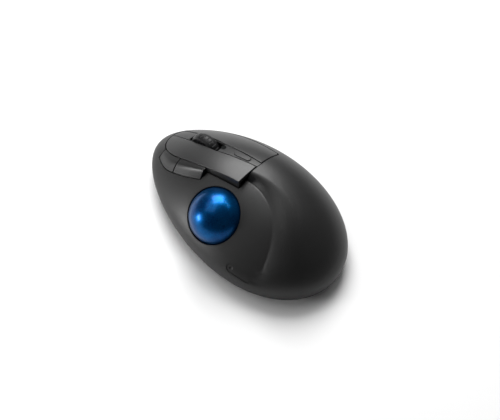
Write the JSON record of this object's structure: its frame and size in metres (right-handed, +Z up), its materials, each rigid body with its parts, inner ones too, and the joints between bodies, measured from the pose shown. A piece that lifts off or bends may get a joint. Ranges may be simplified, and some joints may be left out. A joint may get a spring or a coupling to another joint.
{
  "type": "trackball mouse",
  "caption": "Thumb-operated cordless trackball mouse: egg-shaped right-hand body with a blue ball on a thumb shelf, two main keys, scroll wheel and side keys.",
  "frame": {"origin": "on the desk plane, under the middle of the body's bounding box", "axes": "+Z up from the desk, +Y forward towards the main keys, +X to the user's right; the ball is on -X"},
  "size_m": [0.0816, 0.1374, 0.0442],
  "materials": {
    "shell_charcoal": "fine satin moulding",
    "base_black": "fine spark-eroded texture",
    "key_grey": "smooth satin coat",
    "strip_black": "semi-gloss",
    "wheel_rubber": "smooth moulded rubber",
    "wheel_plastic": "polished",
    "ball_blue": "pearl, polished",
    "frame_plastic": "moulded",
    "cup_plastic": "moulded",
    "board_green": "solder mask",
    "chip_black": "moulded epoxy",
    "switch_black": "moulded",
    "switch_white": "moulded",
    "steel": "brushed",
    "nickel": "nickel plated",
    "ceramic_white": "polished ceramic",
    "clear_lens": "clear",
    "light_window": "milky",
    "cell_wrap": "printed sleeve",
    "foot_black": "smooth low-friction pad",
    "label_grey": "blank film"
  },
  "bodies": {
    "case": {"top_shell": "shell_charcoal", "bottom_shell": "base_black", "button_deck": "frame_plastic", "center_spine": "strip_black", "dpi_switch": "switch_black", "strip_board": "board_green", "status_led": "switch_white", "led_lens": "light_window", "carriage_pin": "steel", "wheel_spring": "steel", "scroll_emitter": "clear_lens", "scroll_detector": "chip_black", "ball_cup": "cup_plastic", "ball_bearings": "ceramic_white", "sensor_lens": "clear_lens", "optical_sensor": "chip_black", "sensor_board": "board_green", "main_board": "board_green", "controller_chip": "chip_black", "left_microswitch": "switch_black", "right_microswitch": "switch_black", "wheel_switch": "switch_black", "side_switch_board": "board_green", "back_switch": "switch_black", "forward_switch": "switch_black", "power_switch": "nickel", "pairing_switch": "switch_black", "battery": "cell_wrap", "battery_contact": "nickel", "battery_spring_plate": "nickel", "battery_spring": "nickel", "case_screws": "steel", "board_screws": "steel", "cup_screws": "steel", "deck_screws": "steel", "front_foot": "foot_black", "rear_foot": "foot_black", "left_foot": "foot_black", "right_foot": "foot_black", "label_plate": "label_grey"},
    "left_key": {"left_button": "key_grey"},
    "right_key": {"right_button": "key_grey"},
    "forward_side_key": {"forward_key": "key_grey"},
    "back_side_key": {"back_key": "key_grey"},
    "small_button": {"dpi_button": "key_grey"},
    "carriage": {"wheel_carriage": "frame_plastic"},
    "wheel": {"scroll_wheel_tyre": "wheel_rubber", "scroll_wheel_hub": "wheel_plastic", "wheel_axle": "steel"},
    "ball": {"trackball": "ball_blue"},
    "slider": {"power_slider": "switch_white", "power_switch_lever": "switch_white"},
    "pairing": {"pairing_button": "frame_plastic"},
    "door": {"battery_door": "base_black"},
    "receiver": {"usb_receiver": "frame_plastic", "usb_plug": "nickel"}
  },
  "joints": [
    {"name": "left_click", "type": "hinge", "parent": "case", "child": "left_key", "pos_m": [0.0085, -0.0026, 0.0397], "axis": [-1, 0, 0], "range_deg": [0, 0.7], "stiffness_Nm_per_rad": 2, "springref_deg": -0.52},
    {"name": "right_click", "type": "hinge", "parent": "case", "child": "right_key", "pos_m": [0.0214, -0.0026, 0.0361], "axis": [-1, 0, 0], "range_deg": [0, 0.7], "stiffness_Nm_per_rad": 2, "springref_deg": -0.52},
    {"name": "forward_press", "type": "slide", "parent": "case", "child": "forward_side_key", "axis": [0.5524, 0, -0.8336], "range_m": [0, 0.0005], "stiffness_N_per_m": 1500, "springref_m": -0.0003},
    {"name": "back_press", "type": "slide", "parent": "case", "child": "back_side_key", "axis": [0.5524, 0, -0.8336], "range_m": [0, 0.0005], "stiffness_N_per_m": 1500, "springref_m": -0.0003},
    {"name": "small_button_press", "type": "slide", "parent": "case", "child": "small_button", "axis": [0, 0, -1], "range_m": [0, 0.0004], "stiffness_N_per_m": 1500, "springref_m": -0.0003},
    {"name": "wheel_press", "type": "hinge", "parent": "case", "child": "carriage", "pos_m": [0.00835, 0.021, 0.016], "axis": [-1, 0, 0], "range_deg": [0, 1.6], "stiffness_Nm_per_rad": 0.4, "springref_deg": -0.69, "deforming": ["wheel_spring"]},
    {"name": "wheel_spin", "type": "hinge", "parent": "carriage", "child": "wheel", "pos_m": [0.00835, 0.0368, 0.0234], "axis": [1, 0, 0], "continuous": true},
    {"name": "ball_spin", "type": "hinge", "parent": "case", "child": "ball", "pos_m": [-0.01946, 0.00218, 0.02268], "axis": [1, 0, 0], "continuous": true},
    {"name": "power_slide", "type": "slide", "parent": "case", "child": "slider", "axis": [1, 0, 0], "range_m": [0, 0.003]},
    {"name": "pairing_press", "type": "slide", "parent": "case", "child": "pairing", "axis": [0, 0, 1], "range_m": [0, 0.0004], "stiffness_N_per_m": 1500, "springref_m": -0.0002},
    {"name": "door_swing", "type": "hinge", "parent": "case", "child": "door", "pos_m": [0.013, 0.005, 0.00175], "axis": [1, 0, 0], "range_deg": [0, 75]},
    {"name": "receiver_slide", "type": "slide", "parent": "case", "child": "receiver", "axis": [0, 0, -1], "range_m": [0, 0.01]}
  ]
}
